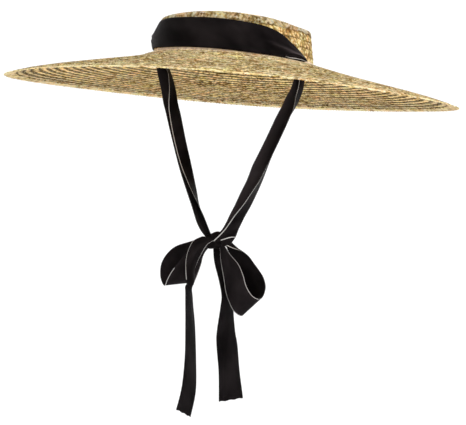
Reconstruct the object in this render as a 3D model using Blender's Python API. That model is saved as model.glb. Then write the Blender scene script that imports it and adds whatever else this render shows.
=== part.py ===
"""A wide brim straw hat with a ribbon that goes round its crown and ties below it in a bow.

Metres, +Z up. The origin is the middle of the head opening, where the crown meets the brim.
The front of the hat faces -Y. Left and right are as someone in front of the hat sees them.
Tables are in millimetres and degrees.
"""

from math import cos, radians, sin

import bmesh
import bpy
from mathutils import Matrix, Vector

MM = 0.001
GAP = 0.3 * MM

# Straw body
STRAW_THICKNESS = 2.0 * MM
CROWN_HALF_WIDTH = 83.0 * MM
CROWN_HALF_LENGTH = 99.0 * MM
CROWN_TOP_SCALE = 0.932
CROWN_TAPER_HEIGHT = 36.0 * MM
SHOULDER_RADIUS = 3.5 * MM
TIP_MIDDLE_HEIGHT = 38.5 * MM
CROWN_SIDES = 64
TIP_RINGS = 3

RIM_HALF_WIDTH = 240.0 * MM
RIM_FRONT_LENGTH = 241.0 * MM
RIM_BACK_LENGTH = 246.0 * MM
BRIM_LIP = 1.7 * MM
BRIM_DROP = 27.4 * MM
BRIM_FLARE = 1.05
BRIM_FLARE_POWER = 2.1
RIM_DIP = 5.8 * MM
RIM_DIP_POWER = 6
BRIM_SIDES = 88

# Ribbon
RIBBON_THICKNESS = 1.0 * MM
FOLD_RADIUS = 1.0 * MM
SLOT_OFFSET = 3.2 * MM
SLOT_MIDDLE_Y = -3.5 * MM
SLOT_LENGTH = 21.0 * MM
SLOT_WIDTH = 4.6 * MM
SLOT_CUT_DEPTH = 24.0 * MM
BOW_TURN = radians(24.0)
KNOT_PLACE = (-4.0, 193.0, 2.0)
KNOT_HALF_SIZE = (14.5, 9.5, 9.0)
KNOT_TILT = radians(16.0)
KNOT_SQUARENESS = 0.82
KNOT_SIDES = 20
KNOT_RINGS = 12

# The height of the crown's top edge round the hat.
# angle, height
TOP_EDGE = (
    (0, 38.6),
    (20, 39.7),
    (45, 38.9),
    (62, 37.4),
    (85, 35.2),
    (110, 36.0),
    (150, 36.5),
    (200, 36.5),
    (250, 36.0),
    (300, 35.5),
    (335, 36.8),
)

# How the rim rises and falls round the hat, with the angle of one crest of each wave.
# waves, height, crest angle
RIM_WAVES = (
    (1, 3.8, 201),
    (2, 1.5, 14),
    (3, 1.4, 137),
)

# The ribbon across the front of the crown. Angles are from the front, heights from the brim,
# and out is the distance of the ribbon's middle layer from the crown.
# low angle, low height, low out, top angle, top height, top out, bulge
BAND = (
    (-83, 0.9, 3.0, -91, 1.2, 3.0, 0.0),
    (-80, 0.9, 2.8, -88, 5.0, 3.4, 1.5),
    (-76, 0.9, 2.4, -83, 12, 4.2, 2.5),
    (-71, 0.9, 2.0, -75, 20, 3.8, 3.5),
    (-64, 1.0, 1.8, -66, 26, 2.2, 4.0),
    (-56, 1.2, 1.2, -56, 29.5, 1.2, 1.5),
    (-45, 1.5, 1.1, -45, 31.5, 1.1, 0.5),
    (-28, 1.8, 1.1, -28, 32.3, 1.1, 0.0),
    (-8, 2.0, 1.1, -8, 32.2, 1.1, 0.0),
    (12, 1.8, 1.1, 12, 32.2, 1.1, 0.0),
    (28, 1.0, 1.1, 28, 31.2, 1.1, 0.0),
    (40, 0.8, 1.1, 40, 30.3, 1.1, 0.0),
    (50, 0.8, 1.1, 50, 28.4, 1.1, 0.3),
    (58, 0.8, 1.1, 58, 25.6, 1.1, 0.6),
    (64, 0.8, 1.2, 65, 21.4, 1.2, 0.8),
    (69, 0.8, 1.5, 71, 17.0, 1.5, 1.0),
    (74, 0.8, 2.0, 77.5, 11.2, 2.0, 1.0),
    (78.5, 0.8, 2.5, 84, 5.4, 2.6, 0.6),
    (82, 0.9, 3.0, 91, 1.2, 3.0, 0.0),
)

# The ties and the bow are laid out as the bow faces: across to the right, down from the
# brim, and toward whoever looks at the bow. A turn of 0 points across, 90 points toward.
# A tie is folded lengthwise, with two flaps on one fold.
# down, fold across, fold toward, flap, front turn, back turn
TIE_LEFT = (
    (-0.2, -77.1, -38.8, 14.0, 114, 114),
    (5, -77.1, -38.8, 14.0, 114, 114),
    (11, -73.5, -37.5, 14.5, 110, 128),
    (17, -67.5, -35, 15.0, 103, 154),
    (27, -63.5, -33, 15.0, 110, 168),
    (37, -60.3, -31, 15.0, 118, 174),
    (50, -57.0, -29, 15.0, 125, 170),
    (63, -52.7, -26, 15.0, 133, 166),
    (88, -45.7, -21, 15.0, 137, 150),
    (114, -37.7, -17, 15.0, 134, 144),
    (141, -30.1, -11, 15.0, 112, 128),
    (152, -27.5, -9, 14.5, 99, 120),
    (160, -25.0, -7, 14.0, 90, 117),
    (168, -21.8, -5, 13.0, 84, 120),
    (178, -17.0, -3, 11.0, 82, 130),
    (187, -12.0, -1, 8.0, 83, 137),
    (194, -7.0, 1, 5.0, 90, 130),
)
TIE_RIGHT = (
    (-0.2, 80.4, 31.4, 14.0, 114, 114),
    (5, 80.4, 31.4, 14.0, 114, 114),
    (11, 78.0, 30, 14.5, 112, 120),
    (17, 75.3, 28, 15.0, 112, 128),
    (29, 74.0, 26, 15.5, 112, 136),
    (39, 71.3, 24.5, 16.0, 108, 146),
    (47, 68.0, 23.3, 16.0, 99, 143),
    (61, 60.9, 21, 16.5, 88, 136),
    (83, 52.9, 18, 16.5, 88, 138),
    (104, 45.9, 15, 16.5, 92, 147),
    (117, 42.3, 13, 16.5, 98, 170),
    (128, 39.0, 11, 16.5, 103, 176),
    (140, 34.8, 9, 16.5, 112, 174),
    (154, 29.3, 7.5, 16.0, 122, 166),
    (172, 21.2, 6, 15.0, 142, 162),
    (182, 17.3, 5, 13.5, 155, 172),
    (189, 13.3, 4, 12.0, 165, 180),
    (195, 10.5, 3, 10.0, 165, 185),
)

# A loop is given by its two edges, out along its front and back behind.
# across, down and toward of one edge, then of the other
LOOP_LEFT = (
    (-12, 192, 3, -7, 197, 2),
    (-20, 198, 5, -14, 205, 3),
    (-27, 202, 7, -17, 212, 3),
    (-34, 208, 9, -18, 219, 3),
    (-42, 219, 12, -20, 227, 3),
    (-49, 230, 13, -22, 234, 2),
    (-53, 239, 11, -24, 239, 0),
    (-55, 245, 5, -26, 242, -6),
    (-58, 243, -2, -29, 240, -13),
    (-61, 235, -6, -32, 232, -17),
    (-61, 223, -8, -35, 222, -18),
    (-56, 212, -8, -34, 214, -16),
    (-47, 203, -6, -29, 208, -13),
    (-33, 197, -4, -22, 204, -8),
    (-20, 192, -3, -14, 201, -5),
    (-10, 190, -1, -6, 195, -2),
)
LOOP_RIGHT = (
    (-2, 195, 3, 1, 191, 4),
    (0, 201, 4, 3, 194, 6),
    (1, 206, 4, 6, 199, 9),
    (2, 213, 2, 12, 207, 13),
    (4, 222, 0, 21, 216, 17),
    (7, 234, -2, 27, 227, 20),
    (10, 247, -3, 31, 238, 20),
    (14, 257, -4, 37, 247, 17),
    (20, 267, -6, 43, 251, 12),
    (28, 272, -10, 48, 251, 5),
    (32, 268, -16, 51, 246, -3),
    (33, 258, -21, 52, 238, -8),
    (31, 244, -24, 49, 229, -11),
    (25, 231, -24, 44, 222, -12),
    (19, 219, -21, 38, 215, -11),
    (13, 210, -15, 32, 208, -9),
    (9, 203, -9, 25, 203, -5),
    (6, 198, -4, 16, 198, -2),
    (1, 194, -1, 4, 191, 0),
)

# A tail is given by its middle line, the turn and width of the ribbon, how far its
# section is bowed out, and how far its first edge hangs below the middle.
# down, across, toward, turn, width, bow, slant
TAIL_LEFT = (
    (190, -8.0, 6, -5, 8, 0.0, 0),
    (198, -17.2, 11, -5, 13, 0.0, 0),
    (205, -23.8, 14, -12, 15, 0.8, 0),
    (215, -27.3, 17, -36, 15.5, 1.6, 0),
    (226, -29.2, 18, -58, 17, 3.0, 0),
    (238, -30.2, 17, -78, 20, 5.0, 0),
    (248, -30.8, 15, -90, 22, 5.8, 0),
    (264, -29.0, 12, -102, 25, 5.4, 0),
    (285, -25.9, 9, -107, 28, 3.4, 0),
    (319, -22.9, 7, -113, 30, 1.8, 0),
    (352, -22.3, 7, -119, 30, 1.0, 0.6),
    (378.5, -23.7, 7, -121, 30, 0.6, 2.0),
)
TAIL_RIGHT = (
    (192, -5.0, -3, 0, 6, 0.0, 0),
    (204, -1.2, -8, -18, 11.5, 0.0, 0),
    (216, 2.0, -11, -30, 15.5, 0.5, 0),
    (235, 9.0, -14, -45, 21, 1.0, 0),
    (251, 12.8, -15, -56, 25, 1.0, 0),
    (263, 12.5, -14, -60, 27, 1.0, 0),
    (289, 13.5, -11, -50, 30, 1.0, 0),
    (304, 15.7, -10, -42, 30, 1.0, 0),
    (333, 20.3, -9, -42, 30, 1.0, 0.6),
    (362, 24.4, -9, -32, 30, 0.6, 2.3),
)

# colour, roughness and metallic value
MATERIALS = {
    "straw": ((0.55, 0.42, 0.20), 0.55, 0.0),
    "ribbon": ((0.012, 0.010, 0.010), 0.35, 0.0),
}


def clear_scene():
    for thing in list(bpy.data.objects):
        bpy.data.objects.remove(thing, do_unlink=True)


def material(name):
    """The named material, made the first time it is asked for."""
    found = bpy.data.materials.get(name)
    if found:
        return found
    colour, roughness, metallic = MATERIALS[name]
    made = bpy.data.materials.new(name)
    made.use_nodes = True
    made.diffuse_color = (*colour, 1.0)
    shader = made.node_tree.nodes["Principled BSDF"]
    shader.inputs["Base Color"].default_value = (*colour, 1.0)
    shader.inputs["Roughness"].default_value = roughness
    shader.inputs["Metallic"].default_value = metallic
    return made


def add_object(name, shape, finish, sharp_angle=50.0):
    """An object made from a bmesh, which is freed."""
    mesh = bpy.data.meshes.new(name)
    shape.to_mesh(mesh)
    shape.free()
    mesh.shade_smooth()
    mesh.set_sharp_from_angle(angle=radians(sharp_angle))
    if finish:
        mesh.materials.append(material(finish))
    made = bpy.data.objects.new(name, mesh)
    bpy.context.scene.collection.objects.link(made)
    return made


def sheet(rows):
    """A surface through rows of points. Rows that close on themselves or end in one point are welded."""
    across = len(rows[0]) - 1
    along = len(rows) - 1
    shape = bmesh.new()
    bmesh.ops.create_grid(shape, x_segments=across, y_segments=along, size=1.0)
    for vertex in shape.verts:
        column = round((vertex.co.x + 1) / 2 * across)
        row = round((vertex.co.y + 1) / 2 * along)
        vertex.co = rows[row][column]
    bmesh.ops.remove_doubles(shape, verts=shape.verts, dist=0.001 * MM)
    return shape


def thicken(thing, thickness, offset):
    """Gives a surface its thickness: offset -1 keeps it as the outer face, 0 as the middle."""
    solid = thing.modifiers.new("Thickness", "SOLIDIFY")
    solid.thickness = thickness
    solid.offset = offset
    solid.use_even_offset = True
    solid.use_quality_normals = True
    return thing


def cut(thing, cutter, name):
    """Takes a hidden cutter out of an object."""
    boolean = thing.modifiers.new(name, "BOOLEAN")
    boolean.operation = "DIFFERENCE"
    boolean.solver = "EXACT"
    boolean.object = cutter


def hide_cutter(cutter):
    cutter.hide_render = True
    cutter.display_type = "WIRE"
    return cutter


def blend(before, start, end, after, share):
    """A smooth curve from start to end that heads for its neighbours."""
    slope_in = (end - before) / 2
    slope_out = (after - start) / 2
    rise = end - start
    return (
        start
        + slope_in * share
        + (3 * rise - 2 * slope_in - slope_out) * share**2
        + (slope_in + slope_out - 2 * rise) * share**3
    )


def smooth_table(table, steps):
    """The table's rows with smooth rows between them."""
    rows = []
    last = len(table) - 1
    for number in range(last):
        before, after = table[max(number - 1, 0)], table[min(number + 2, last)]
        columns = list(zip(before, table[number], table[number + 1], after))
        for step in range(steps):
            rows.append([blend(*column, step / steps) for column in columns])
    rows.append(list(table[last]))
    return rows


def round_table_value(table, angle):
    """Reads a table of (angle, value) rows that go round a full turn."""
    angle %= 360
    count = len(table)
    number = max(i for i in range(count) if table[i][0] <= angle)
    start, end = table[number], table[(number + 1) % count]
    before, after = table[number - 1], table[(number + 2) % count]
    share = (angle - start[0]) / ((end[0] - start[0]) % 360)
    return blend(before[1], start[1], end[1], after[1], share)


def oval(angle, half_width, half_length):
    """The point of an oval at an angle in degrees from the front towards +X."""
    turn = radians(angle)
    return half_width * sin(turn), -half_length * cos(turn)


def crown_scale(height):
    return 1 + (CROWN_TOP_SCALE - 1) * height / CROWN_TAPER_HEIGHT


def beside_crown(angle, height, out):
    """A point at this distance outside the crown."""
    scale = crown_scale(height)
    x, y = oval(angle, CROWN_HALF_WIDTH * scale + out, CROWN_HALF_LENGTH * scale + out)
    return Vector((x, y, height))


def brim_drop(share, angle):
    """How far the brim lies below the head opening, this share of its width out."""
    flare = BRIM_FLARE * (1 - (1 - share) ** BRIM_FLARE_POWER)
    drop = BRIM_DROP * (share + flare) / (1 + BRIM_FLARE) + RIM_DIP * share**RIM_DIP_POWER
    for waves, height, crest in RIM_WAVES:
        drop -= height * MM * cos(radians(waves * (angle - crest))) * share**2
    return drop


def brim_point(share, angle):
    rim_length = RIM_BACK_LENGTH if 90 < angle < 270 else RIM_FRONT_LENGTH
    half_width = CROWN_HALF_WIDTH + (RIM_HALF_WIDTH - CROWN_HALF_WIDTH) * share
    half_length = CROWN_HALF_LENGTH + (rim_length - CROWN_HALF_LENGTH) * share
    x, y = oval(angle, half_width, half_length)
    return Vector((x, y, -GAP - brim_drop(share, angle)))


def build_crown():
    angles = [360 * i / CROWN_SIDES for i in range(CROWN_SIDES)] + [0]
    top = [round_table_value(TOP_EDGE, angle) * MM for angle in angles]
    rows = []
    for share in (0, 0.5, 1):
        rows.append(
            [
                beside_crown(a, GAP + share * (h - SHOULDER_RADIUS - GAP), 0)
                for a, h in zip(angles, top)
            ]
        )
    for turn in (radians(30), radians(60), radians(90)):
        inward = SHOULDER_RADIUS * (1 - cos(turn))
        lower = SHOULDER_RADIUS * (1 - sin(turn))
        rows.append([beside_crown(a, h - lower, -inward) for a, h in zip(angles, top)])
    edge = rows[-1]
    for ring in range(TIP_RINGS - 1, -1, -1):
        reach = ring / TIP_RINGS
        rows.append(
            [
                Vector((p.x * reach, p.y * reach, TIP_MIDDLE_HEIGHT + (p.z - TIP_MIDDLE_HEIGHT) * reach**2))
                for p in edge
            ]
        )
    return thicken(add_object("crown", sheet(rows), "straw"), STRAW_THICKNESS, -1)


def slot_cutter(name, side):
    """A prism with round ends, tall enough to go through the brim."""
    shape = bmesh.new()
    place = Matrix.Translation((side * (CROWN_HALF_WIDTH + SLOT_OFFSET), SLOT_MIDDLE_Y, 0))
    size = Matrix.Diagonal((SLOT_WIDTH, SLOT_LENGTH, SLOT_CUT_DEPTH, 1))
    bmesh.ops.create_cube(shape, size=1.0, matrix=place @ size)
    upright = [e for e in shape.edges if abs(e.verts[0].co.z - e.verts[1].co.z) > SLOT_CUT_DEPTH / 2]
    bmesh.ops.bevel(
        shape, geom=upright, offset=SLOT_WIDTH * 0.45, offset_type="OFFSET", segments=3, profile=0.5
    )
    return hide_cutter(add_object(name, shape, None))


def build_brim():
    angles = [360 * i / BRIM_SIDES for i in range(BRIM_SIDES)] + [0]
    rows = [[brim_point(share, a) for a in angles] for share in (1, 0.95, 0.86, 0.72, 0.54, 0.36, 0.2, 0.08, 0)]
    rows.append(
        [
            Vector((*oval(a, CROWN_HALF_WIDTH - BRIM_LIP, CROWN_HALF_LENGTH - BRIM_LIP), -GAP))
            for a in angles
        ]
    )
    brim = thicken(add_object("brim", sheet(rows), "straw"), STRAW_THICKNESS, -1)
    for name, side in (("slot_cutter_left", -1), ("slot_cutter_right", 1)):
        cut(brim, slot_cutter(name, side), name)


def build_band():
    """The ribbon round the front of the crown. Its ends narrow into the slots."""
    rows = []
    for low_angle, low_height, low_out, top_angle, top_height, top_out, bulge in smooth_table(BAND, 2):
        row = []
        for step in range(6):
            up = step / 5
            angle = low_angle + (top_angle - low_angle) * up
            height = low_height + (top_height - low_height) * up
            out = low_out + (top_out - low_out) * up + bulge * 4 * up * (1 - up)
            row.append(beside_crown(angle, height * MM, out * MM))
        rows.append(row)
    return thicken(add_object("hat_band", sheet(rows), "ribbon"), RIBBON_THICKNESS, 0)


def bow_place(across, down, toward):
    """A point given as the bow faces, in millimetres."""
    x = across * cos(BOW_TURN) + toward * sin(BOW_TURN)
    y = across * sin(BOW_TURN) - toward * cos(BOW_TURN)
    return Vector((x, y, -down)) * MM


def bow_heading(turn):
    """The level direction of a turn, where 0 points across and 90 toward."""
    return bow_place(cos(radians(turn)), 0, sin(radians(turn))) / MM


def folded_section(down, across, toward, flap, front_turn, back_turn):
    """A level section of a ribbon folded lengthwise: two flaps joined by a round fold."""
    fold = bow_place(across, down, toward)
    middle_turn = (front_turn + back_turn) / 2
    centre = fold + bow_heading(middle_turn) * FOLD_RADIUS
    points = []
    for reach in (1.0, 0.5):
        start = centre + bow_heading(front_turn - 90) * FOLD_RADIUS
        points.append(start + bow_heading(front_turn) * flap * reach * MM)
    first, last = front_turn - 90, back_turn + 90 - 360
    for step in range(5):
        points.append(centre + bow_heading(first + (last - first) * step / 4) * FOLD_RADIUS)
    for reach in (0.5, 1.0):
        start = centre + bow_heading(back_turn + 90) * FOLD_RADIUS
        points.append(start + bow_heading(back_turn) * flap * reach * MM)
    return points


def tail_section(down, across, toward, turn, width, bow, slant):
    middle = bow_place(across, down, toward)
    points = []
    for step in range(-2, 3):
        side = step / 2
        point = middle + bow_heading(turn) * side * width / 2 * MM
        point += bow_heading(turn + 90) * bow * (1 - side**2) * MM
        point.z += side * slant * MM
        points.append(point)
    return points


def loop_section(a_across, a_down, a_toward, b_across, b_down, b_toward):
    edge_a = bow_place(a_across, a_down, a_toward)
    edge_b = bow_place(b_across, b_down, b_toward)
    return [edge_a.lerp(edge_b, step / 4) for step in range(5)]


def knot_shape(grow):
    """The knot as a squarish rounded lump, larger by grow."""
    shape = bmesh.new()
    bmesh.ops.create_uvsphere(shape, u_segments=KNOT_SIDES, v_segments=KNOT_RINGS, radius=1.0)
    for vertex in shape.verts:
        full = [abs(c) ** KNOT_SQUARENESS * (1 if c > 0 else -1) for c in vertex.co]
        across, up, toward = (c * (half * MM + grow) for c, half in zip(full, KNOT_HALF_SIZE))
        turned_across = across * cos(KNOT_TILT) - up * sin(KNOT_TILT)
        turned_up = across * sin(KNOT_TILT) + up * cos(KNOT_TILT)
        place = bow_place(turned_across / MM, -turned_up / MM, toward / MM)
        vertex.co = place + bow_place(*KNOT_PLACE)
    return shape


def build_ribbon(name, table, section, steps, knot_cutter):
    """One length of ribbon, trimmed where it goes into the knot."""
    rows = [section(*row) for row in smooth_table(table, steps)]
    ribbon = thicken(add_object(name, sheet(rows), "ribbon"), RIBBON_THICKNESS, 0)
    cut(ribbon, knot_cutter, "Knot")


def build_bow():
    add_object("bow_knot", knot_shape(0), "ribbon")
    knot_cutter = hide_cutter(add_object("knot_cutter", knot_shape(GAP), None))
    build_ribbon("tie_left", TIE_LEFT, folded_section, 1, knot_cutter)
    build_ribbon("tie_right", TIE_RIGHT, folded_section, 1, knot_cutter)
    build_ribbon("bow_loop_left", LOOP_LEFT, loop_section, 2, knot_cutter)
    build_ribbon("bow_loop_right", LOOP_RIGHT, loop_section, 2, knot_cutter)
    build_ribbon("tail_left", TAIL_LEFT, tail_section, 2, knot_cutter)
    build_ribbon("tail_right", TAIL_RIGHT, tail_section, 2, knot_cutter)


def main():
    clear_scene()
    build_crown()
    build_brim()
    build_band()
    build_bow()


main()
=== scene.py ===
"""Dresses a wide brim straw hat: rows of plaited straw, a satin ribbon tied in a bow, and a studio.

Laid out as a Blender add-on and run as a script. Metres, +Z up, with the front of the hat
facing -Y. Left and right are as someone in front of the hat sees them. Tables are in
millimetres and degrees.
"""

import bmesh
import bpy
import numpy as np
from bpy.props import FloatProperty, FloatVectorProperty, IntProperty, PointerProperty
from bpy.types import Operator, Panel, PropertyGroup
from mathutils import Matrix, Vector
from math import cos, exp, pi, radians, sin


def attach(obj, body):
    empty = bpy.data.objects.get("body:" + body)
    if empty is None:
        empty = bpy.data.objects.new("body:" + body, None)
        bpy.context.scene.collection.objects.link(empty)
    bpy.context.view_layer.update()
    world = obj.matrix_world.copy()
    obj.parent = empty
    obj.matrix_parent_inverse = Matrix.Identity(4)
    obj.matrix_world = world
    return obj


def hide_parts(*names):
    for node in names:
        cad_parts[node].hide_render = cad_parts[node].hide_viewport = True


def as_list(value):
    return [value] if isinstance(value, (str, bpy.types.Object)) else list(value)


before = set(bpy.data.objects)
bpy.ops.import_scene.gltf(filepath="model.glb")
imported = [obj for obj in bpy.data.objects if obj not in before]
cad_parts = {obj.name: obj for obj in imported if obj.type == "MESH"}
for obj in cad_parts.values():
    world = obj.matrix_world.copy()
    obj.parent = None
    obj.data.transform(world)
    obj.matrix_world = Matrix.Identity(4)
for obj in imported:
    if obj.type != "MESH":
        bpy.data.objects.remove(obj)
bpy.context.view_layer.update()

bl_info = {
    "name": "Straw Hat Dresser",
    "version": (1, 0, 0),
    "blender": (4, 5, 0),
    "location": "3D View > Sidebar > Straw Hat",
    "description": "Builds the plaited straw, the satin ribbon and the studio of a wide brim hat",
    "category": "Add Mesh",
}

MM = 0.001
LENGTH = {"subtype": "DISTANCE", "unit": "LENGTH"}
COLOUR = {"subtype": "COLOR", "size": 3}

# The straw body, as in the solids
STRAW_THICKNESS = 2.0
CROWN_HALF_WIDTH = 83.0
CROWN_HALF_LENGTH = 99.0
CROWN_TOP_SCALE = 0.932
CROWN_TAPER_HEIGHT = 36.0
SHOULDER_RADIUS = 3.5
TIP_MIDDLE_HEIGHT = 38.5
FOOT_HEIGHT = 0.3
CROWN_FOOT = 1.4
PLAIT_RISE = 0.8
RIM_HALF_WIDTH = 240.0
RIM_FRONT_LENGTH = 241.0
RIM_BACK_LENGTH = 246.0
BRIM_DROP = 27.4
BRIM_FLARE = 1.05
BRIM_FLARE_POWER = 2.1
RIM_DIP = 5.8
RIM_DIP_POWER = 6
HOLLOW_DEPTH = 2.5
HOLLOW_PLACE = 0.16
HOLLOW_ANGLE = -50.0
HOLLOW_WIDTH = 38.0
SLOT_OFFSET = 3.2
SLOT_WIDTH = 4.6

# A row of plait: faces across it, and as shares of its size, the teeth of its edges and how
# unevenly its points lie. A gap keeps the rows apart in their map.
ROW_FACES = 6
TOOTH = 0.045
UNEVEN_ALONG = 0.22
UNEVEN_ACROSS = 0.03
UNEVEN_LIFT = 0.14
ROW_MAP_GAP = 20
THIN_SHARE = 0.45
CROWN_START = 0.0
BRIM_START = -0.008
ROWS_END = 0.998

# The height of the crown's top edge round the hat.
# angle, height
TOP_EDGE = (
    (0, 38.6),
    (20, 39.7),
    (45, 38.9),
    (62, 37.4),
    (85, 35.2),
    (110, 36.0),
    (150, 36.5),
    (200, 36.5),
    (250, 36.0),
    (300, 35.5),
    (335, 36.8),
)

# How the rim rises and falls round the hat, with the angle of one crest of each wave.
# waves, height, crest angle
RIM_WAVES = (
    (1, 3.8, 201),
    (2, 1.5, 14),
    (3, 1.4, 137),
)

# Where each slot runs from front to back.
# side, front y, back y
SLOTS = (
    (-1, -14, 7),
    (1, -14, -3),
)

# How the straw looks on each side of a row. Each side's lightness and tone are partly painted
# light and shade: the crown is painted darker, and the underside lighter and warmer, than the top
# of the brim. The rows from first to last have a tone of their own, which on the crown's shoulder
# row is painted shade where the light from above falls most. The seam width and light give the
# painted shade in the steps between rows.
# name: seam width, seam light, bundles, specks, patches, lightness, gloss, tone, first, last, own tone
STRAW_LOOKS = {
    "Straw Brim": (0.2, 0.5, 1.5, 1.5, 1.0, 0.66, 1.12, (1.02, 0.98, 0.91), 0, 1, (1.02, 1.0, 1.08)),
    "Straw Crown": (0.2, 0.8, 0.8, 1.4, 0.4, 0.47, 1.12, (1.0, 0.96, 0.84), 4, 4, (0.64, 0.66, 0.82)),
    "Straw Underside": (
        0.36, 0.02, 1.3, 2.0, 1.0, 0.77, 1.06, (1.03, 0.88, 0.69), 15, 17, (0.80, 0.86, 1.0),
    ),
}
# Painted shade in the steps between rows: its colour, and how unevenly it breaks.
PAINTED_SEAM_SHADE = (0.035, 0.018, 0.006)
SEAM_BREAKS = 0.9
# Painted highlights on the rim: their colour, and where the flecks begin and are full.
RIM_HIGHLIGHT_COLOUR = (1.0, 0.95, 0.74)
FLECK_START = 0.54
FLECK_FULL = 0.68
# Painted light: the foot of the first row, where crown and brim meet under the band, is painted paler
# over this share of its width, against the shade there.
FOOT_REACH = 0.24
FOOT_SHARE = 0.6
FOOT_PAINTED_LIGHT = (0.92, 0.76, 0.64)

# The ribbon across the front of the crown. Angles are from the front, heights from the brim,
# and out is the distance of the ribbon's middle layer from the crown.
# low angle, low height, low out, top angle, top height, top out, bulge
BAND = (
    (-83, 0.9, 3, -91, 1.2, 3, 0),
    (-80, 1.2, 2, -88, 5, 3, 1.2),
    (-76, 2, 1.4, -83, 13, 3, 2.2),
    (-71, 2.8, 1.1, -76, 22, 2, 3.2),
    (-64, 3, 1.1, -67, 28.5, 1, 4.2),
    (-56, 2.7, 1.1, -57, 30.4, 1, 2.6),
    (-45, 2, 1.1, -45, 31.5, 1.1, 0.7),
    (-28, 1.1, 1.1, -28, 32.3, 1.1, 0),
    (-8, 0.9, 1.1, -8, 32.2, 1.1, 0),
    (12, 0.6, 1.1, 12, 32.2, 1.1, 0),
    (28, 0, 1.1, 28, 31.2, 1.1, 0),
    (40, -0.5, 1.1, 40, 30.3, 1.1, 0),
    (50, -0.6, 1.1, 50, 28.4, 1.1, 0.3),
    (58, -0.6, 1.1, 58, 25.6, 1.1, 0.6),
    (64, -0.8, 1.5, 65, 21.4, 1.2, 0.8),
    (69, -1.1, 2.1, 70.5, 16.4, 1.5, 1),
    (74, -1.4, 2.6, 76.5, 11.4, 2, 1),
    (78.5, -1.6, 3, 82.5, 5.4, 2.6, 0.6),
    (82, -1.5, 3.3, 87, 0.2, 3, 0),
)

# The part of the band's upper edge that is folded down over it at the right end, in the
# same columns.
BAND_FLAP = (
    (64.5, 0.7, 2.2, 63, 2.5, 2.1, 0),
    (68, -0.3, 2.7, 66.5, 3.9, 2.9, 0),
    (72, -0.1, 3.3, 71, 4.9, 3.5, 0),
    (78, 0, 3.8, 77, 4.2, 3.8, 0),
    (82, -0.1, 4, 81.5, 2.2, 4, 0),
    (85.5, -0.6, 4.1, 85.5, 0.5, 4.1, 0),
)

# The ties and the bow are laid out as the bow faces: across to the right, down from the
# brim, and toward whoever looks at the bow. A turn of 0 points across, 90 points toward.
BOW_TURN = radians(24.0)
KNOT_PLACE = (-4.0, 193.0, 2.0)
KNOT_HALF_SIZE = (13.5, 8.7, 8.0)
KNOT_TILT = radians(16.0)
KNOT_SQUARENESS = 0.82
KNOT_WRAP_DEPTH = 0.06
KNOT_WRAPS = 7.5
KNOT_WRAP_LEAN = 1.5
KNOT_WRAP_START = 0.6
FOLD_RADIUS = 1.0
SECTION_STEPS = 16
# The cut ends of the tails are slightly wavy: height, and turn from one point to the next.
END_WAVE = 0.4
END_WAVE_TURN = 1.1

# A tie is folded lengthwise, with two flaps on one fold.
# down, fold across, fold toward, flap, front turn, back turn
TIE_LEFT = (
    (1.5, -77.1, -38.8, 14, 114, 114),
    (5, -76.5, -38.8, 14, 114, 114),
    (11, -71, -37.5, 15.5, 108, 134),
    (17, -67.5, -35, 15, 103, 154),
    (27, -63.5, -33, 15, 110, 168),
    (37, -60.3, -31, 15, 118, 174),
    (50, -57, -29, 15, 131, 170),
    (63, -52.7, -26, 15, 143, 166),
    (88, -45.7, -21, 15, 145, 152),
    (114, -37.7, -17, 15, 139, 146),
    (141, -30.1, -11, 15, 113, 128),
    (152, -27.5, -9, 14.5, 99, 120),
    (160, -25, -7, 14, 90, 117),
    (168, -21.8, -5, 13, 84, 120),
    (178, -17, -3, 11, 82, 130),
    (187, -12, -1, 8, 83, 137),
    (194, -7, 1, 5, 90, 130),
)
TIE_RIGHT = (
    (2, 77.1, 38.7, 10, 114, 114),
    (5, 77.6, 37, 11, 114, 114),
    (11, 77.6, 33, 13.5, 112, 120),
    (17, 75.3, 28, 15, 112, 128),
    (29, 74, 26, 15.5, 112, 136),
    (39, 71.3, 24.5, 16, 108, 146),
    (47, 68, 23.3, 16, 99, 143),
    (61, 60.9, 21, 16.5, 88, 136),
    (83, 52.9, 18, 16.5, 88, 138),
    (104, 45.9, 15, 16.5, 92, 147),
    (117, 42.3, 13, 15.5, 98, 168),
    (128, 39, 11, 15.4, 103, 174),
    (140, 34.8, 9, 16, 112, 174),
    (154, 29.3, 7.5, 16, 122, 166),
    (165, 24.2, 6.6, 15.6, 134, 164),
    (173, 21, 6, 15.2, 143, 168),
    (180, 18.3, 5.4, 15.6, 150, 174),
    (186, 16.6, 4.8, 18.2, 154, 178),
    (190, 15, 4.4, 20, 156, 180),
    (194, 12.4, 4, 21, 157, 183),
)

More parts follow.
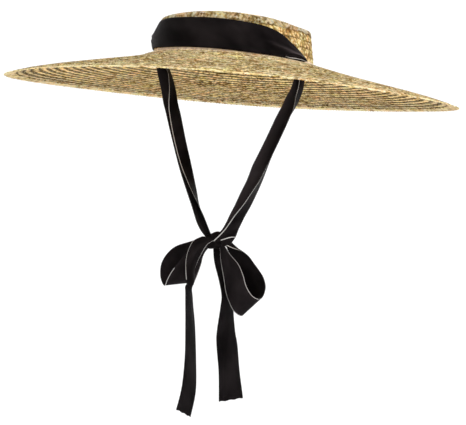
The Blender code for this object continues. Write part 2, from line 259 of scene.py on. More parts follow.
# A loop is given by its two edges, out along its front and back behind.
# across, down and toward of one edge, then of the other
LOOP_LEFT = (
    (-12, 192, 3, -7, 197, 2),
    (-20, 198, 5, -14, 205, 3),
    (-27, 202, 7, -17, 212, 3),
    (-34, 208, 9, -18, 219, 3),
    (-42, 219, 12, -20, 227, 3),
    (-49, 230, 13, -22, 234, 2),
    (-53, 239, 11, -24, 239, 0),
    (-55, 245, 5, -26, 240, -6),
    (-58, 243, -2, -27, 236, -13),
    (-61, 235, -6, -32, 232, -17),
    (-61, 223, -8, -35, 222, -18),
    (-56, 212, -8, -34, 214, -16),
    (-47, 203, -6, -29, 208, -13),
    (-33, 197, -4, -22, 204, -8),
    (-20, 192, -3, -14, 201, -5),
    (-10, 190, -1, -6, 195, -2),
)
LOOP_RIGHT = (
    (-2, 195, 3, 1, 191, 4),
    (0, 201, 4, 3, 194, 6),
    (1, 206, 4, 6, 199, 9),
    (2, 213, 2, 12, 207, 13),
    (4, 222, 0, 21, 216, 17),
    (7, 234, -2, 27, 227, 20),
    (10, 247, -3, 31, 238, 20),
    (14, 257, -4, 37, 247, 17),
    (20, 267, -6, 43, 251, 12),
    (28, 272, -10, 48, 251, 5),
    (32, 268, -16, 51, 246, -3),
    (33, 258, -21, 52, 238, -8),
    (31, 244, -24, 49, 229, -11),
    (25, 231, -24, 44, 222, -12),
    (19, 219, -21, 38, 215, -11),
    (13, 210, -15, 32, 208, -9),
    (9, 203, -9, 25, 203, -5),
    (6, 198, -4, 16, 198, -2),
    (1, 194, -1, 4, 191, 0),
)

# A tail is given by its middle line, the turn and width of the ribbon, how far its
# section is bowed out, and how far its first edge hangs below the middle.
# down, across, toward, turn, width, bow, slant
TAIL_LEFT = (
    (190, -12, 8, -5, 15, 0, 0),
    (194, -17.3, 10.5, -5, 19, 0.3, 0),
    (198, -21.4, 12.5, -6, 17.2, 0.6, 0),
    (205, -24.8, 15, -12, 16, 0.8, 0),
    (215, -27.9, 17, -34, 15.5, 1.6, 0),
    (226, -29.2, 18, -57, 17, 3, 0),
    (236, -29, 17, -71, 21, 5, 0),
    (240.5, -31.2, 16, -88, 22.5, 7, 0),
    (244.5, -30.4, 15, -104, 24, 4.5, 0),
    (250, -28.9, 14, -108, 25, 2, 0),
    (264, -27.3, 12, -110, 26, 1.4, 0),
    (285, -24.8, 9, -112.5, 28, 1.2, 0),
    (319, -22, 7, -114.5, 30, 1, 0),
    (352, -21.2, 7, -121, 30, 0.9, 0.6),
    (378.5, -25, 7, -122.5, 30, 0.6, 2),
)
TAIL_RIGHT = (
    (192, -5, -3, 0, 6, 0, 0),
    (204, -1.2, -8, -18, 11.5, 0, 0),
    (216, 2, -11, -30, 15.5, 0.5, 0),
    (235, 9, -14, -45, 21, 1, 0),
    (251, 12.8, -15, -56, 25, 1, 0),
    (263, 12.5, -14, -60, 27, 1, 0),
    (289, 13.5, -11, -50, 30, 1, 0),
    (304, 15.7, -10, -42, 30, 1, 0),
    (333, 20.3, -9, -42, 30, 1, 0.6),
    (362, 24.4, -9, -32, 30, 0.6, 2.3),
)

# Two pleats of ribbon at the right of the knot, each from its pale edge to where it is tucked in.
# across, down and toward of one edge, then of the other
PLEAT_UPPER = (
    (0.5, 192, 14.6, 2, 199, 11.5),
    (3.5, 190.9, 14.8, 5, 198.5, 11),
    (6.5, 189.6, 14.4, 8, 198, 10),
    (9.5, 188.5, 13.4, 10.5, 196.5, 8.5),
    (12.3, 187.9, 11.8, 12, 195, 7),
    (15.7, 187.9, 9, 12.8, 193.4, 5.5),
)
PLEAT_LOWER = (
    (4.5, 196.6, 11.5, 3, 190, 8),
    (9.3, 198.7, 10.4, 7, 191, 7),
    (12.5, 199.9, 9.4, 11, 193, 5.6),
    (15.8, 200.8, 8, 14.5, 196, 4),
    (21, 202.1, 5.2, 20, 200.2, 2),
    (25.2, 203.9, 1.5, 24, 203.2, -0.5),
)

# Folds in the band, as ridges between two points on it, which fade towards the second.
# angle and height of one end, then of the other, rise and width
BAND_FOLDS = (
    (-68, 18, -38, 14, 1.1, 1.4),
    (-68, 12.5, -34, 9.5, 0.8, 1.2),
    (-66, 4, -30, 6, 0.3, 2.5),
    (84, 2, 46, 15.5, 1.1, 1.8),
    (84, 2, 57, 7, 0.6, 1.5),
    (80, 6, 58, 19, 0.6, 1.8),
    (-20, 25, 16, 11, 0.25, 4.5),
    (-44, 22, -30, 12, 0.25, 4),
    (22, 26, 40, 20, 0.25, 3),
)
BAND_DEGREE = 1.6
# A fold that lifts the band this far gets the full painted highlight.
FULL_HIGHLIGHT_LIFT = 1.2

# The satin's weave, in a ribbon's width, and the share of it that the pale edge takes
RIBS = 70
WARPS = 90
SELVEDGE_SHARE = 0.023

# The camera, fitted to the photo: distance and place in millimetres, turns in degrees
CAMERA_LENS = 131.69
CAMERA_SENSOR = 36.0
CAMERA_AZIMUTH = 24.01
CAMERA_DISTANCE = 1814.0
CAMERA_RIGHT = 10.6
CAMERA_HEIGHT = -175.9
CAMERA_YAW = 0.021
CAMERA_PITCH = 0.429
CAMERA_ROLL = 4.392

# The floor curves up round its edge, like a bowl.
# height in metres, reach as a share of the floor's radius
FLOOR_EDGE = (
    (0.25, 1.07),
    (0.9, 1.16),
    (2.2, 1.2),
    (9.0, 1.2),
)
KEY_PLACE = (2.5, -1.6, 1.9)
KEY_TARGET = (0, 0, -0.1)
KEY_SIZE = 2.2


class StrawSettings(PropertyGroup):
    """Sizes and colours of the plaited straw."""

    brim_rows: IntProperty(
        name="Brim Rows", description="Rows of plaited straw across the brim", default=18, min=6, max=40
    )
    crown_rows: IntProperty(
        name="Crown Rows",
        description="Rows of plaited straw from the foot to the tip",
        default=14,
        min=6,
        max=30,
    )
    row_overlap: FloatProperty(
        name="Row Overlap",
        description="How much wider a row is than the step between rows",
        default=0.27,
        subtype="FACTOR",
    )
    diamond: FloatProperty(
        name="Plait Diamond",
        description="Length of one diamond of the plait along its row",
        default=3.4 * MM,
        **LENGTH,
    )
    thickness: FloatProperty(
        name="Plait Thickness",
        description="Thickness of the plait where two straws cross",
        default=0.95 * MM,
        **LENGTH,
    )
    lift: FloatProperty(
        name="Row Lift",
        description="How far the edges of a row stand above and below its middle",
        default=0.46 * MM,
        **LENGTH,
    )
    pale: FloatVectorProperty(
        name="Pale Straw", description="The lightest straws", default=(0.95, 0.86, 0.56), **COLOUR
    )
    golden: FloatVectorProperty(
        name="Golden Straw", description="Most of the straws", default=(0.55, 0.40, 0.16), **COLOUR
    )
    brown: FloatVectorProperty(
        name="Brown Straw", description="The darkest straws", default=(0.16, 0.085, 0.025), **COLOUR
    )


class RibbonSettings(PropertyGroup):
    """Sizes and colours of the ribbon."""

    width: FloatProperty(
        name="Width", description="Width of the flat ribbon", default=30 * MM, **LENGTH
    )
    thickness: FloatProperty(
        name="Thickness", description="Thickness of the satin", default=0.4 * MM, **LENGTH
    )
    satin: FloatVectorProperty(
        name="Satin", description="Colour of the satin", default=(0.0108, 0.0088, 0.0092), **COLOUR
    )
    selvedge: FloatVectorProperty(
        name="Selvedge", description="Colour of the woven edge", default=(0.60, 0.58, 0.56), **COLOUR
    )


class StudioSettings(PropertyGroup):
    """Floor and lights."""

    floor_height: FloatProperty(
        name="Floor Height", description="Height of the floor", default=-1.7, **LENGTH
    )
    floor_radius: FloatProperty(
        name="Floor Radius", description="Reach of the floor", default=7.0, **LENGTH
    )
    daylight: FloatProperty(name="Daylight", description="Strength of the even light", default=1.08)
    key_power: FloatProperty(
        name="Key Light", description="Power of the large light", default=50.0, unit="POWER"
    )


class HatSettings(PropertyGroup):
    """All that a user may change."""

    straw: PointerProperty(type=StrawSettings)
    ribbon: PointerProperty(type=RibbonSettings)
    studio: PointerProperty(type=StudioSettings)


def settings():
    """The hat's settings in this scene."""
    return bpy.context.scene.straw_hat


def blend(before, start, end, after, share):
    """A smooth curve from start to end that heads for its neighbours."""
    slope_in = (end - before) / 2
    slope_out = (after - start) / 2
    rise = end - start
    return (
        start
        + slope_in * share
        + (3 * rise - 2 * slope_in - slope_out) * share**2
        + (slope_in + slope_out - 2 * rise) * share**3
    )


def smooth_table(table, steps):
    """The table's rows with smooth rows between them."""
    rows = []
    last = len(table) - 1
    for number in range(last):
        before, after = table[max(number - 1, 0)], table[min(number + 2, last)]
        columns = list(zip(before, table[number], table[number + 1], after))
        for step in range(steps):
            rows.append([blend(*column, step / steps) for column in columns])
    rows.append(list(table[last]))
    return rows


def round_table_value(table, angle):
    """Reads a table of (angle, value) rows that go round a full turn."""
    angle %= 360
    count = len(table)
    number = max(i for i in range(count) if table[i][0] <= angle)
    start, end = table[number], table[(number + 1) % count]
    before, after = table[number - 1], table[(number + 2) % count]
    share = (angle - start[0]) / ((end[0] - start[0]) % 360)
    return blend(before[1], start[1], end[1], after[1], share)


TOP_ANGLES = np.arange(0, 361, 2.0)
TOP_HEIGHTS = np.array([round_table_value(TOP_EDGE, angle) for angle in TOP_ANGLES])


def top_edge(angle):
    """Height of the crown's top edge at these angles."""
    return np.interp(angle % 360, TOP_ANGLES, TOP_HEIGHTS)


def brim_surface(share, angle):
    """Points in the middle of the brim's wall, at these shares of its width and angles."""
    turn = np.radians(angle)
    inside = np.maximum(1 - share, 0)
    flare = BRIM_FLARE * (1 - inside**BRIM_FLARE_POWER)
    drop = BRIM_DROP * (share + flare) / (1 + BRIM_FLARE) + RIM_DIP * np.abs(share) ** RIM_DIP_POWER
    for waves, height, crest in RIM_WAVES:
        drop = drop - height * np.cos(np.radians(waves * (angle - crest))) * share**2
    # The brim is hollowed a little at the front left, beside the crown.
    reach = np.maximum(share, 0) / HOLLOW_PLACE
    turned = (angle - HOLLOW_ANGLE + 180) % 360 - 180
    drop = drop + HOLLOW_DEPTH * (reach * np.exp(1 - reach)) ** 2 * np.exp(-((turned / HOLLOW_WIDTH) ** 2))
    rim_length = np.where(np.cos(turn) < 0, RIM_BACK_LENGTH, RIM_FRONT_LENGTH)
    half_width = CROWN_HALF_WIDTH + (RIM_HALF_WIDTH - CROWN_HALF_WIDTH) * share
    half_length = CROWN_HALF_LENGTH + (rim_length - CROWN_HALF_LENGTH) * share
    height = -FOOT_HEIGHT - drop - STRAW_THICKNESS / 2
    return np.stack((half_width * np.sin(turn), -half_length * np.cos(turn), height), axis=-1)


def crown_surface(share, angle):
    """Points in the middle of the crown's wall, at these shares of the way from foot to tip."""
    turn = np.radians(angle)
    top = top_edge(angle) + PLAIT_RISE
    wall = STRAW_THICKNESS / 2
    bend = SHOULDER_RADIUS - wall
    side = top - SHOULDER_RADIUS - FOOT_HEIGHT
    arc = bend * pi / 2
    tip_scale = 1 + (CROWN_TOP_SCALE - 1) * (top - SHOULDER_RADIUS) / CROWN_TAPER_HEIGHT
    tip = CROWN_HALF_WIDTH * tip_scale - SHOULDER_RADIUS
    way = share * (side + arc + tip + CROWN_FOOT) - CROWN_FOOT
    up = np.minimum(way, side)
    bent = np.clip(way - side, 0, arc) / bend
    inward = np.maximum(way - side - arc, 0)
    height = FOOT_HEIGHT + up
    scale = 1 + (CROWN_TOP_SCALE - 1) * height / CROWN_TAPER_HEIGHT
    out = -wall - bend * (1 - np.cos(bent)) - inward
    half_width = np.maximum(CROWN_HALF_WIDTH * scale + out, 0)
    half_length = CROWN_HALF_LENGTH * scale + out
    x = half_width * np.sin(turn)
    y = -half_length * np.cos(turn)
    edge_width = half_width + inward
    edge_length = half_length + inward
    reach = np.clip(np.hypot(x / edge_width, y / edge_length), 0, 1)
    crest = height + bend * np.sin(bent)
    middle = TIP_MIDDLE_HEIGHT - wall
    height = np.where(inward > 0, middle + (crest - middle) * reach**2, crest)
    return np.stack((x, y, height), axis=-1)


def unit(vectors):
    return vectors / np.maximum(np.linalg.norm(vectors, axis=-1, keepdims=True), 1e-9)


def even_angles(surface, way, count):
    """Angles that divide the ring at this way into equal lengths, from 0 to 360."""
    fine = np.linspace(0, 360, 721)
    points = surface(np.full(721, way), fine)
    travelled = np.concatenate(([0], np.cumsum(np.linalg.norm(np.diff(points, axis=0), axis=1))))
    return np.interp(np.linspace(0, travelled[-1], count + 1), travelled, fine), travelled[-1]


def object_from(shape, name):
    """An object made from a bmesh, which is freed."""
    mesh = bpy.data.meshes.new(name)
    shape.to_mesh(mesh)
    shape.free()
    mesh.shade_smooth()
    thing = bpy.data.objects.new(name, mesh)
    bpy.context.scene.collection.objects.link(thing)
    return thing


def thicken(thing, thickness, group=""):
    """Gives a surface its thickness on both sides."""
    solid = thing.modifiers.new("Thickness", "SOLIDIFY")
    solid.thickness = thickness
    solid.offset = 0
    solid.use_even_offset = not group
    if group:
        solid.vertex_group = group
        solid.thickness_vertex_group = THIN_SHARE
    return solid


def plait_row(shape, surface, start, end, lifted_end, number):
    """Adds one row of plait from start to end across a surface, as a ring."""
    straw = settings().straw
    width = end - start
    uv = shape.loops.layers.uv["plait"]
    row_uv = shape.loops.layers.uv["row"]
    weights = shape.verts.layers.deform.verify()
    middle = (start + end) / 2
    length = even_angles(surface, middle, 8)[1]
    count = 2 * max(round(length * MM / straw.diamond), 4)
    angles = even_angles(surface, middle, count)[0]
    across = np.linspace(0, 1, ROW_FACES + 1)
    column, level = np.meshgrid(np.arange(count + 1), np.arange(ROW_FACES + 1))
    thick = (column + level + number) % 2 == 0
    way = start + width * across[level]
    tooth = np.where(thick, TOOTH, -TOOTH)
    way = way + np.where(level == 0, -tooth, 0) * width + np.where(level == ROW_FACES, tooth, 0) * width
    chance = np.random.default_rng(number)
    jitter = chance.uniform(-1, 1, (3, ROW_FACES + 1, count + 1))
    jitter[:, :, -1] = jitter[:, :, 0]
    cell = 360 / count
    start_turn = chance.uniform(0, 360)
    angle = angles[column] + jitter[0] * cell * UNEVEN_ALONG
    way = way + jitter[1] * UNEVEN_ACROSS * width
    angle = angle + start_turn
    points = surface(way, angle)
    step = 1e-3 * width
    outward = unit(surface(way + step, angle) - surface(way - step, angle))
    onward = unit(surface(way, angle + 0.05) - surface(way, angle - 0.05))
    normal = unit(np.cross(onward, outward))
    inward = np.sum(normal * guide(points), axis=-1, keepdims=True) < 0
    normal = normal * np.where(inward, -1, 1)
    rise = (across[level] - 0.5) * 2 * lifted_end + jitter[2] * UNEVEN_LIFT
    points = points * MM + normal * (rise * straw.lift)[..., None]
    made = bmesh.ops.create_grid(shape, x_segments=count, y_segments=ROW_FACES, size=1.0)
    ends = []
    for vertex in made["verts"]:
        c = round((vertex.co.x + 1) / 2 * count)
        r = round((vertex.co.y + 1) / 2 * ROW_FACES)
        vertex.co = points[r, c]
        vertex[weights][0] = 1.0 if thick[r, c] else 0.0
        for loop in vertex.link_loops:
            loop[uv].uv = (c / 2, (r + number) / 2 + ROW_MAP_GAP * number)
            loop[row_uv].uv = (r / ROW_FACES, number)
        if c in (0, count):
            ends.append(vertex)
    bmesh.ops.remove_doubles(shape, verts=ends, dist=1e-6)


def guide(points):
    """Roughly outward and up from the hat's inside."""
    return points * (1, 1, 0) * 0.01 + np.array((0, 0, 1.0))


def plaited(name, surface, rows, lifted_end, node):
    """A piece made of rows of plait. Each row is (start, end, number)."""
    shape = bmesh.new()
    shape.loops.layers.uv.new("plait")
    shape.loops.layers.uv.new("row")
    for start, end, number in rows:
        plait_row(shape, surface, start, end, lifted_end, number)
    covered = straw_cover()
    outside, shows = "Straw Crown", (0.0, 1 - covered)
    if node == "brim":
        outside, shows = "Straw Brim", (covered, 1.0)
        cut_slots(shape)
        bmesh.ops.reverse_faces(shape, faces=shape.faces)
    thing = object_from(shape, name)
    thing.vertex_groups.new(name="thick")
    thing.data.materials.append(straw_material(outside, shows))
    thing.data.materials.append(straw_material("Straw Underside", (0.0, 1 - covered)))
    solid = thicken(thing, settings().straw.thickness, "thick")
    solid.material_offset = 1
    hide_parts(node)
    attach(thing, "root")


def straw_cover():
    """The share of a row's width that the next row covers."""
    overlap = settings().straw.row_overlap
    return overlap / (1 + overlap)


def cut_slots(shape):
    """Takes out what lies in the two slots that the ribbon goes through."""
    inside = []
    for face in shape.faces:
        middle = face.calc_center_median() / MM
        for side, front, back in SLOTS:
            beside = abs(middle.x * side - CROWN_HALF_WIDTH - SLOT_OFFSET) < SLOT_WIDTH / 2
            if beside and front < middle.y < back:
                inside.append(face)
    bmesh.ops.delete(shape, geom=inside, context="FACES")


def row_limits(count, overlap, first, last):
    """Start and end of each of so many equal rows that overlap."""
    step = (last - first) / (count + overlap)
    return [(first + step * i, first + step * (i + 1 + overlap), i) for i in range(count)]


class Nodes:
    """A material's node tree, with short ways to add and join its nodes."""

    def __init__(self, name):
        self.material = bpy.data.materials.new(name)
        self.material.use_nodes = True
        self.tree = self.material.node_tree
        self.shader = self.tree.nodes["Principled BSDF"]

    def add(self, kind, *inputs, **values):
        """A new node with its first inputs fed in order, and its settings."""
        node = self.tree.nodes.new(kind)
        for key, value in values.items():
            setattr(node, key, value)
        for socket, value in zip(node.inputs, inputs):
            self.feed(socket, value)
        return node

    def join(self, source, target):
        self.tree.links.new(source, target)

    def feed(self, socket, value):
        if isinstance(value, bpy.types.NodeSocket):
            self.join(value, socket)
        else:
            socket.default_value = value

    def give(self, key, value):
        """Feeds an input of the shader."""
        self.feed(self.shader.inputs[key], value)

    def maths(self, operation, first, second=0.0, third=0.0):
        return self.add("ShaderNodeMath", first, second, third, operation=operation).outputs[0]

    def combine(self, x, y=0.0, z=0.0):
        return self.add("ShaderNodeCombineXYZ", x, y, z).outputs[0]

    def spot(self, first, first_scale, second, second_scale, third=0.0):
        """A place for noise, from two values and the scale of each."""
        x = self.maths("MULTIPLY", first, first_scale)
        y = self.maths("MULTIPLY", second, second_scale)
        return self.combine(x, y, third)

    def map_parts(self, name):
        """The two coordinates of a UV map."""
        place = self.add("ShaderNodeUVMap", uv_map=name).outputs["UV"]
        return self.add("ShaderNodeSeparateXYZ", place).outputs[:2]

    def white(self, vector):
        return self.add("ShaderNodeTexWhiteNoise", vector, noise_dimensions="3D").outputs["Value"]

    def noise(self, vector, scale, detail=2.0, roughness=0.5):
        node = self.add("ShaderNodeTexNoise", vector)
        for key, value in (("Scale", scale), ("Detail", detail), ("Roughness", roughness)):
            node.inputs[key].default_value = value
        return node.outputs["Fac"]

    def ramp(self, value, stops):
        node = self.add("ShaderNodeValToRGB", value)
        points = node.color_ramp.elements
        while len(points) < len(stops):
            points.new(0.5)
        for point, (place, colour) in zip(points, stops):
            point.position = place
            point.color = (*colour, 1.0)
        return node.outputs["Color"]

    def mix(self, share, first, second, blend_type="MIX"):
        node = self.add("ShaderNodeMix", data_type="RGBA", blend_type=blend_type)
        self.feed(node.inputs["Factor"], share)
        for socket, value in zip(node.inputs[6:8], (first, second)):
            self.feed(socket, value if isinstance(value, bpy.types.NodeSocket) else (*value, 1.0))
        return node.outputs[2]

    def between(self, value, start, end, low=0.0):
        """Rises smoothly from low to 1 as the value goes from start to end."""
        node = self.add("ShaderNodeMapRange", interpolation_type="SMOOTHSTEP")
        for key, given in (("Value", value), ("From Min", start), ("From Max", end), ("To Min", low)):
            self.feed(node.inputs[key], given)
        return node.outputs["Result"]

    def bump(self, height, strength, distance):
        node = self.add("ShaderNodeBump")
        self.join(height, node.inputs["Height"])
        node.inputs["Strength"].default_value = strength
        node.inputs["Distance"].default_value = distance
        self.give("Normal", node.outputs["Normal"])


def scaled(colour, factor):
    return tuple(channel * factor for channel in colour)


def straw_material(name, shows):
    """Plaited wheat straw: flat straws that cross in diamonds, each in its own shade.

    Shows is the part of a row's width, from start to end, that its neighbours leave in sight.
    """
    found = bpy.data.materials.get(name)
    if found:
        return found
    straw = settings().straw
    seam_width, seam_light, bundled, specked, patched, lightness, gloss, tone, *own = STRAW_LOOKS[name]
    first, last, own_tone = own
    nodes = Nodes(name)
    maths = nodes.maths
    along, across = nodes.map_parts("plait")
    part, number = nodes.map_parts("row")
    rising = maths("ADD", along, across)
    falling = maths("SUBTRACT", along, across)
    first_cell = maths("ROUND", rising)
    second_cell = maths("ROUND", falling)
    first_in = maths("SUBTRACT", rising, first_cell)
    second_in = maths("SUBTRACT", falling, second_cell)
    parity = maths("PINGPONG", maths("ADD", first_cell, second_cell), 1.0)
    # The straw on top runs one way in even diamonds and the other way in odd ones.
    other = maths("SUBTRACT", 1.0, parity)
    side_in = maths("MULTIPLY_ADD", second_in, other, maths("MULTIPLY", first_in, parity))
    run = maths("MULTIPLY_ADD", falling, parity, maths("MULTIPLY", rising, other))
    cell = nodes.combine(first_cell, second_cell, 3.7)
    straw_first = maths("MULTIPLY", first_cell, parity)
    straw_number = maths("MULTIPLY_ADD", second_cell, other, straw_first)
    fibres = nodes.noise(nodes.spot(run, 0.9, side_in, 16.0, cell), 1.0)
    bundles = nodes.noise(nodes.spot(along, 0.28, across, 0.55), 1.0, 3.0, 0.7)
    # Specks keep their shade across a row, so they also show where the row is seen from its edge.
    in_row = maths("MULTIPLY_ADD", number, 5.3, part)
    specks = nodes.noise(nodes.combine(maths("MULTIPLY", along, 0.62), in_row), 1.0, 2.0, 0.7)
    stretches = nodes.noise(nodes.spot(along, 0.035, number, 3.1), 1.0, 1.0, 0.5)
    place = nodes.add("ShaderNodeTexCoord").outputs["Object"]
    # Painted light and shade: each side starts from its own lightness, set for how much light falls on it.
    # Each share of the shade: what it varies with, and how much.
    shade = lightness
    for value, contrast in (
        (nodes.white(cell), 0.6),
        (nodes.white(nodes.combine(straw_number, parity, 9.1)), 0.35),
        (fibres, 0.4),
        (bundles, bundled),
        (specks, specked),
        (stretches, 0.7),
        (nodes.noise(place, 60.0, 3.0, 0.6), patched),
    ):
        shade = maths("MULTIPLY_ADD", maths("SUBTRACT", value, 0.5), contrast, shade)
    colour = nodes.ramp(
        shade,
        (
            (0.0, straw.brown),
            (0.3, scaled(straw.golden, 0.62)),
            (0.5, straw.golden),
            (0.72, scaled(straw.pale, 0.82)),
            (0.95, straw.pale),
        ),
    )
    warmth = nodes.white(nodes.combine(straw_number, parity, 4.3))
    tint = ((0.1, (1.07, 0.94, 0.75)), (0.55, (1.0, 1.0, 1.0)), (0.95, (0.94, 1.0, 1.12)))
    tint = nodes.ramp(warmth, tint)
    colour = nodes.mix(1.0, nodes.mix(1.0, colour, tint, "MULTIPLY"), tone, "MULTIPLY")
    hue = nodes.noise(place, 75.0, 2.0, 0.6)
    hue = nodes.ramp(hue, ((0.34, (1.1, 0.93, 0.88)), (0.5, (1.0, 1.0, 1.0)), (0.66, (1.0, 1.02, 0.78))))
    colour = nodes.mix(1.0, colour, hue, "MULTIPLY")
    # Rows from first to last get their own tone; on the crown this is painted shade on the shoulder row.
    in_own = maths("COMPARE", number, (first + last) / 2, (last - first + 1) / 2)
    colour = nodes.mix(in_own, colour, nodes.mix(1.0, colour, own_tone, "MULTIPLY"))
    # Painted light at the foot of the first row.
    foot = maths("LESS_THAN", maths("ADD", number, part), FOOT_REACH)
    colour = nodes.mix(maths("MULTIPLY", foot, FOOT_SHARE), colour, FOOT_PAINTED_LIGHT)
    # Painted shade: a row darkens towards the steps on both sides, unevenly, as the gaps under the row
    # edges would be shaded. The first row has no step before it, and the rim shows none.
    start, end = shows
    first_row = maths("LESS_THAN", number, 0.5)
    to_start = maths("ADD", maths("SUBTRACT", part, start), first_row)
    rim = maths("GREATER_THAN", number, straw.brim_rows - 1.5)
    to_step = maths("MINIMUM", to_start, maths("SUBTRACT", end, part))
    to_step = maths("ADD", to_step, rim)
    to_step = maths("MULTIPLY_ADD", maths("SUBTRACT", specks, 0.5), SEAM_BREAKS, to_step)
    seam_shade = nodes.between(to_step, 0.0, seam_width, seam_light)
    colour = nodes.mix(seam_shade, PAINTED_SEAM_SHADE, colour)
    # Painted highlights: the rim is painted paler in flecks, where it would catch the light.
    highlight_flecks = nodes.noise(nodes.combine(maths("MULTIPLY", along, 0.5), part), 1.0, 2.0, 0.6)
    highlight_flecks = nodes.between(highlight_flecks, FLECK_START, FLECK_FULL)
    outer = maths("MULTIPLY", rim, maths("POWER", maths("MAXIMUM", part, 0.0), 2.0))
    colour = nodes.mix(maths("MULTIPLY", outer, highlight_flecks), colour, RIM_HIGHLIGHT_COLOUR)
    nodes.give("Base Color", colour)
    rounded = maths("COSINE", maths("MULTIPLY", side_in, pi))
    nodes.bump(maths("MULTIPLY_ADD", fibres, 0.35, rounded), 0.9, 0.45 * MM)
    nodes.give("Roughness", maths("MULTIPLY_ADD", fibres, 0.2, 0.38))
    nodes.give("IOR", gloss)
    return nodes.material


def satin_material(name, selvedge_shows):
    """Black satin with fine ribs across, painted sheen in soft patches, and painted highlights given in a
    UV map; on its face a pale woven edge.
    """
    found = bpy.data.materials.get(name)
    if found:
        return found
    ribbon = settings().ribbon
    nodes = Nodes(name)
    maths = nodes.maths
    across, along = nodes.map_parts("ribbon")
    crease, turned_under = nodes.map_parts("crease")
    from_edge = maths("MINIMUM", across, maths("SUBTRACT", 1.0, across))
    streaks = nodes.noise(nodes.spot(across, 40.0, along, 2.0), 3.0)
    # Painted sheen: soft lighter and darker patches and streaks, where highlights would fall on satin.
    painted_sheen = maths("MULTIPLY_ADD", along, 0.5, maths("MULTIPLY", across, 1.5))
    painted_sheen = nodes.noise(nodes.combine(painted_sheen, maths("MULTIPLY", along, 0.9)), 1.0, 2.0, 0.5)
    painted_sheen = maths("MULTIPLY_ADD", streaks, 0.3, maths("MULTIPLY_ADD", painted_sheen, 2.6, -0.95))
    # Painted shade: the back of the satin is a darker copy of the face.
    painted_back_shade = 1.0 if selvedge_shows else 0.66
    dark, light = scaled(ribbon.satin, 0.5 * painted_back_shade), scaled(ribbon.satin, 1.7 * painted_back_shade)
    satin = nodes.mix(maths("MAXIMUM", painted_sheen, 0.0), dark, light)
    # Painted highlights, as much as the UV map gives: on the band's folds, the back flaps of the ties and
    # the loops.
    satin = nodes.mix(crease, satin, scaled(ribbon.satin, 6.0))
    if selvedge_shows:
        edge = maths("LESS_THAN", from_edge, SELVEDGE_SHARE)
        stitches = nodes.noise(nodes.spot(across, 30.0, along, 30.0), 1.5)
        share = maths("MULTIPLY", edge, maths("MULTIPLY_ADD", stitches, 0.8, 0.5))
        share = maths("MULTIPLY", share, maths("LESS_THAN", turned_under, 0.5))
        satin = nodes.mix(maths("MINIMUM", share, 1.0), satin, tuple(ribbon.selvedge))
    nodes.give("Base Color", satin)
    ribs = maths("SINE", maths("MULTIPLY", along, 2 * pi * RIBS))
    warp = maths("SINE", maths("MULTIPLY", across, 2 * pi * WARPS))
    height = maths("MULTIPLY_ADD", warp, 0.35, maths("MULTIPLY_ADD", ribs, 0.2, streaks))
    nodes.bump(height, 0.25, 0.12 * MM)
    nodes.give("Roughness", 0.38)
    nodes.give("IOR", 1.05)
    nodes.give("Anisotropic", 0.4)
    return nodes.material


def bow_place(across, down, toward):
    """A point given as the bow faces, in millimetres."""
    x = across * cos(BOW_TURN) + toward * sin(BOW_TURN)
    y = across * sin(BOW_TURN) - toward * cos(BOW_TURN)
    return Vector((x, y, -down)) * MM


def bow_heading(turn):
    """The level direction of a turn, where 0 points across and 90 toward."""
    return bow_place(cos(radians(turn)), 0, sin(radians(turn))) / MM


def sheet_shape(rows, span, painted_highlights, bare):
    """A surface through rows of points, with its sizes in ribbon widths as a UV map.

    A second UV map holds how much painted highlight it gets, and where its selvedge is turned under.
    """
    across = len(rows[0]) - 1
    along = len(rows) - 1
    shape = bmesh.new()
    uv = shape.loops.layers.uv.new("ribbon")
    crease = shape.loops.layers.uv.new("crease")
    travelled = [0.0]
    middle = across // 2
    for before, after in zip(rows, rows[1:]):
        travelled.append(travelled[-1] + (after[middle] - before[middle]).length)
    bmesh.ops.create_grid(shape, x_segments=across, y_segments=along, size=1.0)
    for vertex in shape.verts:
        column = round((vertex.co.x + 1) / 2 * across)
        row = round((vertex.co.y + 1) / 2 * along)
        vertex.co = rows[row][column]
        for loop in vertex.link_loops:
            loop[uv].uv = (span * column / across, travelled[row] / settings().ribbon.width)
            loop[crease].uv = (painted_highlights[row][column] if painted_highlights else 0.0, 0.0)
            if bare and bare[0] <= row <= bare[1] and abs(column / across - bare[2]) < 0.5:
                loop[crease].uv.y = 1.0
    return shape, travelled[-1]


def ribbon(name, rows, node, turned, held, rests_on, span=1.0, painted_highlights=None, bare=()):
    """One length of ribbon, as a sheet of its width and length.

    Span is how much of its width shows. The painted highlights give how much each point is painted
    lighter.
    Bare is the first and last row, and the edge, where the selvedge is turned under.
    """
    shape, length = sheet_shape(rows, span, painted_highlights, bare)
    area = sum(face.calc_area() for face in shape.faces)
    if turned:
        bmesh.ops.reverse_faces(shape, faces=shape.faces)
    thing = object_from(shape, name)
    thing.data.materials.append(satin_material("Satin Face", True))
    thing.data.materials.append(satin_material("Satin Back", False))
    solid = thicken(thing, settings().ribbon.thickness)
    solid.material_offset = 1
    solid.material_offset_rim = 1
    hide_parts(node)
    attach(thing, "root")
    if span < 1:
        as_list(rests_on)
    else:
        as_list(rests_on)


def folded_section(down, across, toward, flap, front_turn, back_turn):
    """A level section of a ribbon folded lengthwise: two flaps joined by a round fold."""
    fold = bow_place(across, down, toward)
    middle_turn = (front_turn + back_turn) / 2
    centre = fold + bow_heading(middle_turn) * FOLD_RADIUS * MM
    points = []
    half = SECTION_STEPS // 2
    start = centre + bow_heading(front_turn - 90) * FOLD_RADIUS * MM
    for step in range(half, 0, -1):
        points.append(start + bow_heading(front_turn) * flap * step / half * MM)
    first, last = front_turn - 90, back_turn + 90 - 360
    for step in range(half + 1):
        turn = first + (last - first) * step / half
        points.append(centre + bow_heading(turn) * FOLD_RADIUS * MM)
    start = centre + bow_heading(back_turn + 90) * FOLD_RADIUS * MM
    for step in range(1, half + 1):
        points.append(start + bow_heading(back_turn) * flap * step / half * MM)
    return points


